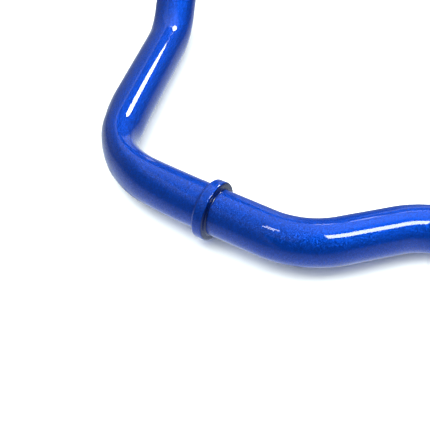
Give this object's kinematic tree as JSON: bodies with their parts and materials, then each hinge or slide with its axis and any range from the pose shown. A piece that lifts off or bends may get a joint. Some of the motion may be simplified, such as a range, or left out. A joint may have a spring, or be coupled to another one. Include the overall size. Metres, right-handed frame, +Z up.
{
  "type": "anti-roll bar",
  "caption": "Bare front anti-roll bar: bent steel tube with cranked centre section, welded stop collars beside the bush seats and a flat drilled lug at the end of each arm.",
  "frame": {"origin": "centre of the bounding box in X and Y, on the floor the bar lies on", "axes": "+X along the common axis of the two bush seats, +Y from the bush seats towards the lugs, +Z up"},
  "size_m": [1.0448, 0.2984, 0.1125],
  "materials": {
    "painted_tube": "gloss metallic blue",
    "painted_forging": "gloss metallic blue over a forged skin",
    "painted_weld": "gloss metallic blue over weld ripples",
    "painted_collar": "gloss metallic blue over a turned ring"
  },
  "bodies": {
    "root": {"bar_tube": "painted_tube", "left_end_lug": "painted_forging", "left_lug_weld": "painted_weld", "left_stop_collar": "painted_collar", "left_collar_weld": "painted_weld", "right_end_lug": "painted_forging", "right_lug_weld": "painted_weld", "right_stop_collar": "painted_collar", "right_collar_weld": "painted_weld"}
  },
  "joints": []
}
